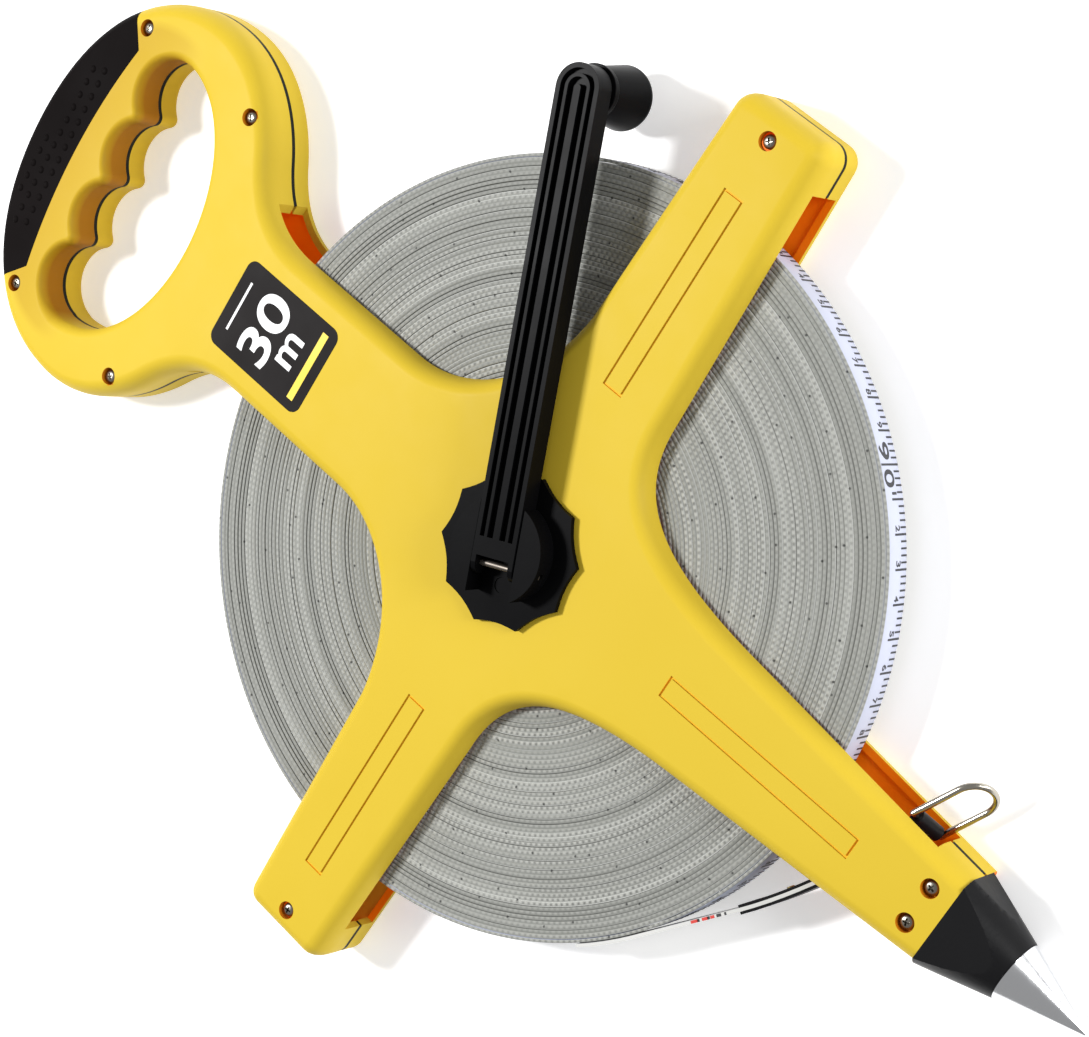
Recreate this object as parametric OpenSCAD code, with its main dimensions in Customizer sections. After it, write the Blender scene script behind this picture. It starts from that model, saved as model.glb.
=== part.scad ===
// Open-frame tape reel, lying on its back. Z is the reel's own axis and Z = 0 is the flat back.
// X runs from the hand grip to the ground spike, Y from one cross arm to the other.

/* [Case] */
// Depth of the case at the hub, from the flat back to the front face
case_depth = 25.7; // [24:0.1:30]
// Height of the joint between the two shells above the flat back
parting_z = 9.7; // [8:0.1:12]
// Thickness of the moulded walls
wall = 2.4; // [1.8:0.1:3]
// Reel axis to the tip of each cross arm
arm_reach = 154.7; // [148:0.1:160]
// Half width of a cross arm at its tip
arm_tip_half = 17.6; // [16:0.1:20]
// Half width of a cross arm where it meets the hub web
arm_root_half = 20.8; // [20:0.1:23]
// Half width of the neck between the hub and the handle
neck_half = 25.5; // [24:0.1:28]
// Reel axis to the far side of the grip
grip_reach = 246.5; // [240:0.5:255]
// Half height of the ring handle
handle_half = 69.3; // [66:0.1:72]
// Reel axis to the end of the spike arm
spike_arm_reach = 170.5; // [168:0.5:175]
// Half width of the spike arm at its end
spike_arm_half = 15.4; // [15:0.1:17]

/* [Finger opening] */
// Half height of the opening
opening_half = 50; // [48:0.5:52]
// Radius of each of the four finger scallops
scallop_r = 13; // [12.8:0.1:13.4]
// Distance from one scallop to the next
scallop_pitch = 24.5; // [24:0.1:25]
// Opening's long centre line, from the reel axis
opening_x = 198; // [196:0.5:200]
// Centre line to the hub side of the opening
opening_bulge = 36.2; // [34:0.1:38]

/* [Tape] */
// Width of the tape
tape_w = 12; // [11:0.1:12.4]
// Outer radius of the wound tape
coil_r = 120.4; // [110:0.1:122]
// Radius of the drum that the tape is wound on
drum_r = 32; // [28:0.5:36]
// Thickness of one layer of tape
tape_t = 1.1; // [0.8:0.1:1.4]

/* [Crank] */
// Direction of the stowed crank, from the spike arm
crank_angle = 114.1; // [105:0.1:125]
// Reel axis to the knob's centre
crank_reach = 139; // [134:0.5:142]
// Width of the crank arm
crank_w = 15; // [13:0.1:15.2]
// Thickness of the crank arm
crank_t = 7.3; // [6.5:0.1:7.4]
// Height of the fold hinge above the front face
hinge_rise = 6.3; // [6.1:0.1:6.6]
// Hinge pin's distance behind the reel axis
hinge_back = 4.8; // [4:0.1:6]
// Radius of the winding knob
knob_r = 10; // [9:0.1:11]
// Length of the winding knob
knob_len = 21; // [19:0.5:22]

/* [Spike] */
// Reel axis to the point of the spike
spike_reach = 218.8; // [214:0.2:224]
// Reel axis to the seam between holder and steel spike
spike_seam = 193; // [190:0.5:198]
// Radius of the spike at the seam
spike_r = 9.7; // [9:0.1:10.4]

/* [Fasteners] */
// Head diameter of the case screws
screw_head_d = 4.4; // [4:0.1:4.8]
// Depth of the screw heads below the face
screw_sink = 1.2; // [0.8:0.1:1.6]

/* [Hidden] */
$fn = 64;
eps = 0.05;

// heights
floor_t = wall;
face_t = wall + 0.1;
tape_z0 = 5.2;
tape_z1 = tape_z0 + tape_w;
slot_z0 = 3.5;
slot_z1 = 18.4;
// the window openings in the side walls stop here
slot_arm = 139.7;
slot_handle = 140.5;
slot_spike = 157;
// the front face slopes down along the handle and along the spike arm
slope_handle_x = -134;
slope_handle = 0.049;
slope_spike_x = 50;
slope_spike = 0.0275;
function face_z(x) = case_depth - slope_handle * max(0, slope_handle_x - x)
    - slope_spike * max(0, x - slope_spike_x);

// ---- outlines, as points along curves ----
function curve(a, b, c, d, n) = [for (i = [0:n-1]) let (t = i / n, s = 1 - t)
    s*s*s*a + 3*s*s*t*b + 3*s*t*t*c + t*t*t*d];
// like arc, without its last point, for a bend that another one follows
function bend(c, r, a0, a1, n) = [for (i = [0:n-1]) c + r * [cos(a0 + (a1-a0)*i/n), sin(a0 + (a1-a0)*i/n)]];
function arc(c, r, a0, a1, n) = [for (i = [0:n]) c + r * [cos(a0 + (a1-a0)*i/n), sin(a0 + (a1-a0)*i/n)]];
function mirror_back(p) = [for (i = [len(p)-1:-1:0]) [p[i][0], -p[i][1]]];
function unit(v) = v / norm(v);
// moves every side of a closed outline to its right by d
function inset(p, d) = [for (i = [0:len(p)-1])
    let (a = p[(i + len(p) - 1) % len(p)], b = p[i], c = p[(i + 1) % len(p)],
         u = unit(b - a), v = unit(c - b), m = [u[1], -u[0]], n = [v[1], -v[0]])
    b + d * (m + n) / (1 + m * n)];

handle_mid = -191;
tip_r = 6;
upper_side = concat(
    curve([-grip_reach, 0], [-grip_reach, 42], [-224, handle_half], [handle_mid, handle_half], 12),
    curve([handle_mid, handle_half], [-172, handle_half], [-158, 57.5], [-149.5, 44], 8),
    curve([-149.5, 44], [-143, 33.5], [-134, neck_half], [-118, neck_half], 8),
    [[-118, neck_half]],
    curve([-66, neck_half], [-46, neck_half], [-25, 42], [-arm_root_half, 72], 10),
    [[-arm_root_half, 72]],
    arc([tip_r - arm_tip_half, arm_reach - tip_r], tip_r, 180, 90, 6),
    arc([arm_tip_half - tip_r, arm_reach - tip_r], tip_r, 90, 0, 6),
    curve([arm_root_half, 62], [20.5, 37], [38, 26], [80, 22.6], 12),
    [[80, 22.6], [spike_arm_reach, spike_arm_half]]);
case_outline = concat(upper_side, [for (i = [0:len(upper_side)-2]) mirror_back(upper_side)[i]]);

// finger opening: an ellipse on the hub side and four scallops with rounded crests on the grip side
crest_r = 2.9;
crest_a = asin(scallop_pitch / 2 / (scallop_r + crest_r));
crest_x = -opening_x - (scallop_r + crest_r) * cos(crest_a);
scallops = concat(
    bend([-opening_x, 1.5*scallop_pitch], scallop_r, 90, 180 + crest_a, 12),
    bend([crest_x, scallop_pitch], crest_r, crest_a, -crest_a, 6),
    bend([-opening_x, 0.5*scallop_pitch], scallop_r, 180 - crest_a, 180 + crest_a, 10),
    bend([crest_x, 0], crest_r, crest_a, -crest_a, 6),
    bend([-opening_x, -0.5*scallop_pitch], scallop_r, 180 - crest_a, 180 + crest_a, 10),
    bend([crest_x, -scallop_pitch], crest_r, crest_a, -crest_a, 6),
    arc([-opening_x, -1.5*scallop_pitch], scallop_r, 180 - crest_a, 270, 12));
opening_outline = concat(scallops,
    [for (i = [1:23]) [-opening_x + opening_bulge * cos(-90 + i*7.5), opening_half * sin(-90 + i*7.5)]]);

// ---- fixing points ----
screw_spots = [[-218.8, 51.1], [-218.8, -51.1], [-163, 51.1], [-163, -51.1],
               [0, 145.9], [0, -145.9], [163, 6.3], [163, -6.3]];
boss_r = 4.2;
screw_shank_d = 3;
screw_rise = parting_z - 7.5;

module case_plan(d = 0) {
    difference() {
        polygon(inset(case_outline, d));
        polygon(inset(opening_outline, d));
    }
}

// everything under a sloping face that lies d below the front face
module under_face(d) {
    rotate([90, 0, 0]) linear_extrude(height = 400, center = true)
        polygon([[-300, -1], [-300, face_z(-300) - d], [slope_handle_x, face_z(slope_handle_x) - d],
                 [slope_spike_x, face_z(slope_spike_x) - d], [300, face_z(300) - d], [300, -1]]);
}

// grip pad: the rubber covers the handle outside this line
pad_arc_r = 207.7;
pad_side = 3;
pad_top = 2;
pad_z0 = 2;
module pad_zone(grow = 0) polygon(concat(
    arc([-14.3 + grow, 0], pad_arc_r, 168, 192, 10),
    [[-232, -59.8 - grow], [-260, -59.8 - grow], [-260, 59.8 + grow], [-232, 59.8 + grow]]));
module pad_space() difference() {
    intersection() {
        translate([0, 0, pad_z0]) linear_extrude(height = 40) intersection() {
            polygon(case_outline);
            pad_zone();
        }
        under_face(0);
    }
    intersection() {
        translate([0, 0, -1]) linear_extrude(height = 40) polygon(inset(case_outline, pad_side));
        under_face(pad_top);
    }
}

// gussets behind the curved wall of the finger opening
gusset_t = 1.6;
gusset_len = 11;
module gussets_plan() for (t = [-75:15:75])
    translate([opening_bulge*cos(t) - opening_x, opening_half*sin(t)])
        rotate(atan2(opening_bulge*sin(t), opening_half*cos(t)))
            translate([wall/2, -gusset_t/2]) square([gusset_len, gusset_t]);

// the hollow inside the case; the grip under the rubber stays solid
module cavity_plan() {
    difference() {
        case_plan(wall);
        pad_zone(wall);
        gussets_plan();
    }
}

module screw_bosses(z0, z1) {
    for (p = screw_spots) if (p[0] < 160)
        translate([p[0], p[1], z0]) cylinder(r = boss_r, h = z1 - z0);
}

// side windows that the wound tape passes through
module windows() translate([-slot_handle, -slot_arm, slot_z0])
    cube([slot_handle + slot_spike, 2*slot_arm, slot_z1 - slot_z0]);

// bearings for the reel and the joint between the shells
hub_bore_r = 11.1;
hub_collar_r = 15;
front_collar_z = 19.6;
rear_collar_z = 3.2;
rear_cap_r = 12.4;
rear_cap_t = 0.6;
seam_gap = 0.8;
lip_t = wall / 2;
lip_rise = 1.6;

// seat for the tongue of the spike holder
tongue_x = 157.3;
tongue_half = 12.6;
tongue_z0 = 4;
tongue_z1 = 18.6;
module holder_seat() translate([tongue_x, -tongue_half, tongue_z0])
    cube([20, 2*tongue_half, tongue_z1 - tongue_z0]);

// label pocket
label_len = 43.8;
label_w = 31.5;
label_x = -112.5;
label_r = 3.5;
label_t = 0.4;
module label_plan(grow = 0) translate([label_x, 0.2]) {
    square([label_len - 2*label_r, label_w + 2*grow], center = true);
    square([label_len + 2*grow, label_w - 2*label_r], center = true);
    for (x = [-1, 1], y = [-1, 1])
        translate([x*(label_len/2 - label_r), y*(label_w/2 - label_r)]) circle(r = label_r + grow);
}

// thin engraved frames on the cross arms and on the spike arm
frame_line = 0.7;
module line_frame(cx, cy, w, h) translate([cx, cy]) difference() {
    square([w, h], center = true);
    square([w - 2*frame_line, h - 2*frame_line], center = true);
}
module engraved_frames() difference() {
    translate([0, 0, 10]) linear_extrude(height = 20) {
        line_frame(0, 93.5, 7.6, 68.7);
        line_frame(0, -93.5, 7.6, 68.7);
        line_frame(102.2, 0, 73.6, 7.4);
    }
    under_face(0.5);
}

module front_shell() color("gold") {
    difference() {
        union() {
            difference() {
                intersection() {
                    translate([0, 0, parting_z + seam_gap/2]) linear_extrude(height = 30) case_plan();
                    under_face(0);
                }
                intersection() {
                    translate([0, 0, parting_z]) linear_extrude(height = 30) cavity_plan();
                    under_face(face_t);
                }
                // rebate for the rear shell's lip
                translate([0, 0, parting_z]) linear_extrude(height = lip_rise + 0.2) difference() {
                    case_plan(wall - lip_t - 0.1);
                    case_plan(wall + 0.1);
                }
            }
            intersection() {
                screw_bosses(parting_z + seam_gap/2, 30);
                under_face(1);
            }
            translate([0, 0, front_collar_z]) cylinder(r = hub_collar_r, h = case_depth - 1 - front_collar_z);
        }
        windows();
        translate([0, 0, 15]) cylinder(r = hub_bore_r, h = 20);
        for (p = screw_spots) translate([p[0], p[1], 0]) {
            cylinder(d = screw_shank_d + 0.3, h = 40);
            translate([0, 0, face_z(p[0]) - screw_sink - 2]) cylinder(d = screw_head_d + 1.4, h = 10);
        }
        pad_space();
        holder_seat();
        translate([0, 0, case_depth - label_t]) linear_extrude(height = 1) label_plan(0.1);
        engraved_frames();
    }
}

module rear_shell() color("gold") {
    difference() {
        union() {
            difference() {
                union() {
                    linear_extrude(height = parting_z - seam_gap/2) case_plan();
                    linear_extrude(height = parting_z + lip_rise) difference() {
                        case_plan(wall - lip_t);
                        case_plan(wall);
                    }
                }
                translate([0, 0, floor_t]) linear_extrude(height = 20) cavity_plan();
            }
            intersection() {
                screw_bosses(1, parting_z);
                linear_extrude(height = 20) case_plan(0.1);
            }
            cylinder(r = hub_collar_r, h = rear_collar_z);
        }
        windows();
        translate([0, 0, -1]) cylinder(r = hub_bore_r, h = 10);
        for (p = screw_spots)
            translate([p[0], p[1], screw_rise - 0.4]) cylinder(d = screw_shank_d + 0.1, h = 20);
        pad_space();
        holder_seat();
        translate([0, 0, -1]) cylinder(r = rear_cap_r + 0.1, h = 1 + rear_cap_t);
    }
}

// dark strip that fills the joint between the shells, outside the lip
strip_slack = 0.05;
module seam_strip() color("black") difference() {
    translate([0, 0, parting_z - seam_gap/2 + strip_slack]) linear_extrude(height = seam_gap - 2*strip_slack)
        difference() {
            case_plan(0.15);
            case_plan(wall - lip_t - 0.15);
        }
    windows();
    holder_seat();
    pad_space();
}

module grip_pad() color("black") pad_space();

module case_screws() color("silver") for (p = screw_spots)
    translate([p[0], p[1], 0]) difference() {
        union() {
            translate([0, 0, screw_rise])
                cylinder(d = screw_shank_d, h = face_z(p[0]) - screw_sink - 2 - screw_rise);
            translate([0, 0, face_z(p[0]) - screw_sink - 2]) cylinder(d = screw_head_d, h = 2);
        }
        translate([0, 0, face_z(p[0]) - screw_sink]) for (a = [0, 90])
            rotate([0, 0, a + 20]) cube([2.6, 0.7, 2.4], center = true);
    }

module label() color("dimgray") translate([0, 0, case_depth - label_t])
    linear_extrude(height = label_t) label_plan();

module rear_cap() color("gold") cylinder(r = rear_cap_r, h = rear_cap_t);

// ---- ground spike ----
spike_z = 11.3;
stud_r = 3;
stud_x = 151.5;
module along_x(x, r1, r2, h) translate([x, 0, spike_z]) rotate([0, 90, 0]) cylinder(r1 = r1, r2 = r2, h = h);

module spike_holder() color("black") difference() {
    union() {
        intersection() {
            along_x(spike_arm_reach, holder_base_r, spike_r, spike_seam - spike_arm_reach);
            linear_extrude(height = face_z(spike_arm_reach)) holder_plan();
        }
        translate([tongue_x + 0.1, -tongue_half + 0.1, tongue_z0 + 0.1])
            cube([spike_arm_reach - tongue_x, 2*tongue_half - 0.2, tongue_z1 - tongue_z0 - 0.2]);
    }
    along_x(150, stud_r + eps, stud_r + eps, 60);
    for (p = screw_spots) if (p[0] > 160) translate([p[0], p[1], -1]) cylinder(d = screw_shank_d + 0.3, h = 40);
}
holder_base_r = 17;
module holder_plan() polygon([[spike_arm_reach, spike_arm_half], [spike_seam + 1, spike_r + 0.6],
    [spike_seam + 1, -spike_r - 0.6], [spike_arm_reach, -spike_arm_half]]);

module spike() color("silver") union() {
    along_x(spike_seam, spike_r, 0.4, spike_reach - spike_seam);
    along_x(stud_x, stud_r, stud_r, spike_seam - stud_x);
}

module spike_nut() color("silver") difference() {
    translate([stud_x + 0.7, 0, spike_z]) rotate([0, 90, 0]) cylinder(r = 5.77, h = 5, $fn = 6);
    along_x(stud_x - 1, stud_r + eps, stud_r + eps, 10);
}

// ---- the tape's free end, held in the spike arm ----
tape_gap = 0.35;
leave_a = -36.5;
tab_start = [119.9, -40.3];
ring_mid = [149, 15.7, 11.2];
ring_xy = [ring_mid[0], ring_mid[1]];
tab_path = curve(tab_start, tab_start + 20*[0.58, 0.814], ring_xy - 20*[0.39, 0.92], ring_xy, 12);
tail_path = concat(arc([0, 0], coil_r + tape_gap, leave_a - 9, leave_a, 4), [for (i = [0:10]) tab_path[i]]);
// a path moved to its right by d
function beside(p, d) = [for (i = [0:len(p)-1])
    let (u = unit(p[min(len(p)-1, i+1)] - p[max(0, i-1)])) p[i] + d * [u[1], -u[0]]];
function reversed(p) = [for (i = [len(p)-1:-1:0]) p[i]];
module ribbon(path, d0, d1) polygon(concat(beside(path, d0), reversed(beside(path, d1))));

module tape_tail() color("whitesmoke") difference() {
    translate([0, 0, tape_z0]) linear_extrude(height = tape_w) ribbon(tail_path, 0, tape_t);
    at_rivets() cylinder(r = rivet_r + eps, h = 8, center = true);
}

// ring frame: origin in the middle of the bar, x along the bar, y out along the legs
ring_bar = unit([0.578, -0.28, -0.766]);
ring_out = unit(cross(cross(ring_bar, [0.407, 0.913, 0]), ring_bar));
ring_up = cross(ring_bar, ring_out);
module in_ring_frame() multmatrix([
    [ring_bar[0], ring_out[0], ring_up[0], ring_mid[0]],
    [ring_bar[1], ring_out[1], ring_up[1], ring_mid[1]],
    [ring_bar[2], ring_out[2], ring_up[2], ring_mid[2]]]) children();

wire_r = 1.05;
ring_half = 6.6;
ring_leg = 15.5;
module wire_x(x0, x1) translate([x0, 0, 0]) rotate([0, 90, 0]) cylinder(r = wire_r, h = x1 - x0);
module wire_y(x) translate([x, 0, 0]) rotate([-90, 0, 0]) cylinder(r = wire_r, h = ring_leg);
module end_ring() color("silver") in_ring_frame() union() {
    wire_x(-ring_half, ring_half);
    for (x = [-ring_half, ring_half]) {
        wire_y(x);
        translate([x, 0, 0]) sphere(r = wire_r);
    }
    translate([0, ring_leg, 0]) rotate_extrude(angle = 180) translate([ring_half, 0]) circle(r = wire_r);
}

// black tab folded round the ring's bar and riveted over the tape's end
tab_half = 4.9;
tab_skin = 0.9;
loop_r = 2.4;
module end_tab() color("black") difference() {
    union() {
        in_ring_frame() {
            rotate([0, 90, 0]) cylinder(r = loop_r, h = 2*tab_half, center = true);
            translate([-tab_half, -8, -1.2]) cube([2*tab_half, 8, 2.4]);
        }
        translate([0, 0, tape_z0 + 0.2]) linear_extrude(height = tape_w - 0.4)
            ribbon([for (i = [0:11]) tab_path[i]], -tab_skin, tape_t + tab_skin);
    }
    in_ring_frame() rotate([0, 90, 0]) cylinder(r = wire_r + eps, h = 40, center = true);
    translate([0, 0, tape_z0 - 1]) linear_extrude(height = tape_w + 2) ribbon(tail_path, -eps, tape_t + eps);
    at_rivets() cylinder(r = rivet_r + eps, h = 8, center = true);
}
rivet_r = 1.2;
module at_rivets() for (i = [3, 5]) let (p = tab_path[i], u = unit(tab_path[i+1] - tab_path[i-1]))
    translate([p[0], p[1], tape_z0 + tape_w/2]) rotate([0, 0, atan2(u[1], u[0]) - 90]) rotate([0, 90, 0])
        children();
module tab_rivets() color("silver") at_rivets() translate([0, 0, -1.4]) cylinder(r = rivet_r, h = 3.3);

// ---- reel ----
journal_r = hub_bore_r - eps;
flange_r = 41;
split_z = 11.2;
spigot_r = 7;
spigot_flat = 5.5;
bolt_r = 2.5;
module flats(r, half) intersection() {
    circle(r = r);
    square([40, 2*half], center = true);
}

module tape_coil() color("lightgray") translate([0, 0, tape_z0]) difference() {
    cylinder(r = coil_r, h = tape_w, $fn = 180);
    translate([0, 0, -1]) cylinder(r = drum_r, h = tape_w + 2);
}

// one half of the drum: a flange at z0..z1 and the drum wall from there to the split
module drum_wall(z0, z1) translate([0, 0, z0]) difference() {
    cylinder(r = drum_r - eps, h = z1 - z0);
    translate([0, 0, -1]) cylinder(r = drum_r - 2.5, h = z1 - z0 + 2);
}

module spool_front_half() color("orange") difference() {
    union() {
        drum_wall(split_z + eps, tape_z1 + 0.1);
        translate([0, 0, tape_z1 + 0.1]) cylinder(r = flange_r, h = 1.2);
        translate([0, 0, split_z + eps]) cylinder(r = journal_r, h = case_depth + 0.3 - split_z);
    }
    translate([0, 0, split_z - 1]) linear_extrude(height = 20) flats(spigot_r, spigot_flat);
}

module spool_rear_half() color("orange") difference() {
    union() {
        drum_wall(tape_z0 - 0.1, split_z - eps);
        translate([0, 0, tape_z0 - 1.2]) cylinder(r = flange_r, h = 1.1);
        translate([0, 0, 0.95]) cylinder(r = journal_r, h = split_z - eps - 0.95);
    }
    translate([0, 0, -1]) cylinder(r = bolt_r + eps, h = 20);
    translate([0, 0, -1]) cylinder(r = 6.4, h = 4.9);
}

module thrust_washers() color("white")
    for (z = [tape_z0 - 1.7, tape_z1 + 1.35]) translate([0, 0, z]) difference() {
        cylinder(r = 14.6, h = 0.45);
        translate([0, 0, -1]) cylinder(r = journal_r + 0.1, h = 3);
    }

module hub_washer() color("silver") translate([0, 0, 3.05]) difference() {
    cylinder(r = 6.2, h = 0.8);
    translate([0, 0, -1]) cylinder(r = bolt_r + 0.1, h = 3);
}

module hub_screw() color("silver") difference() {
    union() {
        translate([0, 0, 1.1]) cylinder(r = 4.6, h = 1.9);
        translate([0, 0, 1.1]) cylinder(r = bolt_r, h = 20);
    }
    translate([0, 0, 0.5]) cylinder(r = 2.2, h = 1.8, $fn = 6);
}

// ---- crank hub, arm and knob, drawn along the crank's own direction ----
module along_crank() rotate([0, 0, crank_angle]) children();
star_z0 = case_depth + 0.4;
star_z1 = star_z0 + 1.8;
star_r = 24.7;
star_dish = 1;
star_points = 10;
boss_top = case_depth + 9.5;
hub_boss_r = 16.2;
channel_w = 15.8;
hinge_z = case_depth + hinge_rise;
pin_r = 1;
function star_tip(k) = star_r * [cos(18 + 360*k/star_points), sin(18 + 360*k/star_points)];
star = [for (k = [0:star_points-1], j = [0:5]) let (u = j/6, p = star_tip(k)*(1-u) + star_tip(k+1)*u)
    p * (1 - 4*u*(1-u)*star_dish/norm(p))];
module across_hinge(r, h) translate([-hinge_back, 0, hinge_z]) rotate([90, 0, 0])
    cylinder(r = r, h = h, center = true);

module crank_hub() color("black") along_crank() difference() {
    union() {
        translate([0, 0, star_z0]) linear_extrude(height = star_z1 - star_z0) polygon(star);
        translate([0, 0, star_z0]) cylinder(r = hub_boss_r, h = boss_top - star_z0);
        translate([0, 0, split_z + 1]) rotate([0, 0, -crank_angle]) linear_extrude(height = star_z0 - split_z)
            flats(spigot_r - eps, spigot_flat - eps);
    }
    translate([-30, -channel_w/2, star_z1]) cube([60, channel_w, 20]);
    translate([-11, 0, star_z1 - 0.3]) cylinder(r = 2.5, h = 1);
    translate([0, 0, split_z]) cylinder(r = bolt_r + eps, h = 10.5);
    across_hinge(pin_r + 0.02, 60);
}

module hinge_pin() color("silver") along_crank() across_hinge(pin_r, 29.4);

arm_z0 = case_depth + 2.7;
arm_z1 = arm_z0 + crank_t;
knuckle_r = 3.6;
lug_in = 5.85;
cap_start = -2.4;
rib_start = 3.5;
groove_d = 1.8;
module lane(r) {
    translate([rib_start, -r]) square([crank_reach - rib_start, 2*r]);
    translate([crank_reach, 0]) circle(r = r);
}
module grooves() {
    for (g = [[1.2, 3.25], [4.35, 5.9]]) difference() {
        lane(g[1]);
        lane(g[0]);
    }
}
module crank_arm() color("black") along_crank() difference() {
    union() {
        translate([-hinge_back, -crank_w/2, arm_z0]) cube([hinge_back + crank_reach, crank_w, crank_t]);
        translate([crank_reach, 0, arm_z0]) cylinder(r = crank_w/2, h = crank_t);
        across_hinge(knuckle_r, crank_w);
    }
    translate([-hinge_back - 10, -lug_in, arm_z0 - 1]) cube([10 + hinge_back + cap_start, 2*lug_in, 10]);
    across_hinge(pin_r + eps, 30);
    translate([0, 0, arm_z1 - groove_d]) linear_extrude(height = 5) grooves();
    translate([crank_reach, 0, arm_z0 - 1]) cylinder(r = knob_pin_r + 0.02, h = 1 + 4.2);
}

knob_pin_r = 2.5;
knob_top = arm_z0 - 1.1;
knob_end = knob_top - knob_len;
knob_round = 3;
collar_r = 8.3;
module knob_pin() color("silver") along_crank() translate([crank_reach, 0, 0]) difference() {
    union() {
        translate([0, 0, knob_end + 1]) cylinder(r = 4.2, h = 2.4);
        translate([0, 0, knob_end + 1]) cylinder(r = knob_pin_r, h = arm_z0 + 4.1 - knob_end - 1);
    }
    translate([0, 0, knob_end + 1]) cube([6, 1, 2], center = true);
}

module knob_washer() color("silver") along_crank() translate([crank_reach, 0, arm_z0 - 0.75]) difference() {
    cylinder(r = 6, h = 0.7);
    translate([0, 0, -1]) cylinder(r = knob_pin_r + eps, h = 3);
}

module crank_knob() color("black") along_crank() translate([crank_reach, 0, 0]) difference() {
    union() {
        translate([0, 0, knob_top - 2.1]) cylinder(r = collar_r, h = 2.1);
        translate([0, 0, knob_end + knob_round])
            cylinder(r1 = knob_r, r2 = collar_r - 0.6, h = knob_len - knob_round - 2);
        translate([0, 0, knob_end + knob_round]) rotate_extrude()
            translate([knob_r - knob_round, 0]) circle(r = knob_round);
        translate([0, 0, knob_end]) cylinder(r = knob_r - knob_round, h = knob_round);
    }
    translate([0, 0, knob_end - 1]) cylinder(r = knob_pin_r + eps, h = knob_len + 2);
    translate([0, 0, knob_end - 1]) cylinder(r = 4.9, h = 1 + 3.8);
}

front_shell();
rear_shell();
seam_strip();
grip_pad();
case_screws();
label();
rear_cap();
spike_holder();
spike();
spike_nut();
tape_tail();
end_tab();
tab_rivets();
end_ring();
tape_coil();
spool_front_half();
spool_rear_half();
thrust_washers();
crank_hub();
hub_screw();
hub_washer();
hinge_pin();
crank_arm();
knob_pin();
knob_washer();
crank_knob();
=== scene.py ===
import math
import random

import bmesh
import bpy
import numpy as np
from mathutils import Matrix, Quaternion, Vector
from mathutils.geometry import delaunay_2d_cdt


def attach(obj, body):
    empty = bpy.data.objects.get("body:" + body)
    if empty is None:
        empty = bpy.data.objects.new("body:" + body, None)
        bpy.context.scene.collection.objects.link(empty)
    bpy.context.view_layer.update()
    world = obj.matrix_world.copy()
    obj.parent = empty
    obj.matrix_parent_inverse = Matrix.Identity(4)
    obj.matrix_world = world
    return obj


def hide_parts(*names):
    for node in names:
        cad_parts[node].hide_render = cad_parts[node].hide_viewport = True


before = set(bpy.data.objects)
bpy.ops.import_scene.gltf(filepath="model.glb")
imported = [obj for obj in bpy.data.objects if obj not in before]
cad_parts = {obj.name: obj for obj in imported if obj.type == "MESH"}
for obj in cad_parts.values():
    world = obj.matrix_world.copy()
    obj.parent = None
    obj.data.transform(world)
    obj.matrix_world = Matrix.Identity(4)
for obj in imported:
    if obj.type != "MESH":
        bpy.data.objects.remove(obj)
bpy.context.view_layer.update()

random.seed(7)

# X runs from the handle to the spike, Y across the reel and Z from its back to its front.
# Sizes are in millimetres, and are scaled to metres as each mesh is made.
MM = 0.001
CLEAR_LOW, CLEAR_HIGH = -2, 40        # heights past both faces of the case, for its cutters
POINT = 0.0001                        # the radius of a turned profile where it meets its axis

# ---------------------------------------------------------------- the case's own dimensions
CASE_DEPTH = 25.7
SEAM_Z = 9.7
SEAM_HALF = 0.7
WALL = 2.4
SHOULDER_IN, SHOULDER_DOWN = 5.5, 9.0
OPENING_IN, OPENING_DOWN = 3.6, 4.6
BACK_ROUND = 2.3
FINE_ROUND = (0.3, 0.3)
SLOT_LOW, SLOT_HIGH = 3.5, 18.4
SLOT_ARM, SLOT_HANDLE, SLOT_SPIKE = 139.7, 140.5, 157.0
SPIKE_ARM_END = 170.5
HANDLE_SLOPE_X, HANDLE_SLOPE = -134.0, 0.049
SPIKE_SLOPE_X, SPIKE_SLOPE = 50.0, 0.0275
SCREWS = [(-218.8, 51.1), (-218.8, -51.1), (-163, 51.1), (-163, -51.1),
          (0, 145.9), (0, -145.9), (163, 6.3), (163, -6.3)]
WELL_R, WELL_DEPTH = 2.9, 3.2
CAVITY_X = -153                       # the grip's side of the hollow in the case
HUB_HOLE_R = 11.1
CAP_R, CAP_DEPTH = 12.5, 0.6
COIL_R = 120.4
TAPE_LOW, TAPE_HIGH = 5.2, 17.2
SPIKE_Z = 11.3
LABEL_TOP = CASE_DEPTH + 0.01
INK = 0.03                            # thickness of what is printed


def softly(t, blend=9.0):
    """max(0, t) with a rounded corner."""
    if t <= -blend:
        return 0.0
    if t >= blend:
        return t
    return (t + blend) ** 2 / (4 * blend)


def face_z(x):
    """Height of the front face, which slopes down along the handle and along the spike arm."""
    down = HANDLE_SLOPE * softly(HANDLE_SLOPE_X - x)
    return CASE_DEPTH - down - SPIKE_SLOPE * softly(x - SPIKE_SLOPE_X)


# ---------------------------------------------------------------- outlines
def bezier(a, b, c, d, n):
    """n points of a curve, without its last one."""
    a, b, c, d = (np.array(p, float) for p in (a, b, c, d))
    out = []
    for i in range(n):
        t = i / n
        s = 1 - t
        out.append(s**3 * a + 3 * s * s * t * b + 3 * s * t * t * c + t**3 * d)
    return out


def arc(cx, cy, r, a0, a1, n, last=True):
    out = []
    for i in range(n + 1 if last else n):
        a = math.radians(a0 + (a1 - a0) * i / n)
        out.append(np.array((cx + r * math.cos(a), cy + r * math.sin(a))))
    return out


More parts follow.
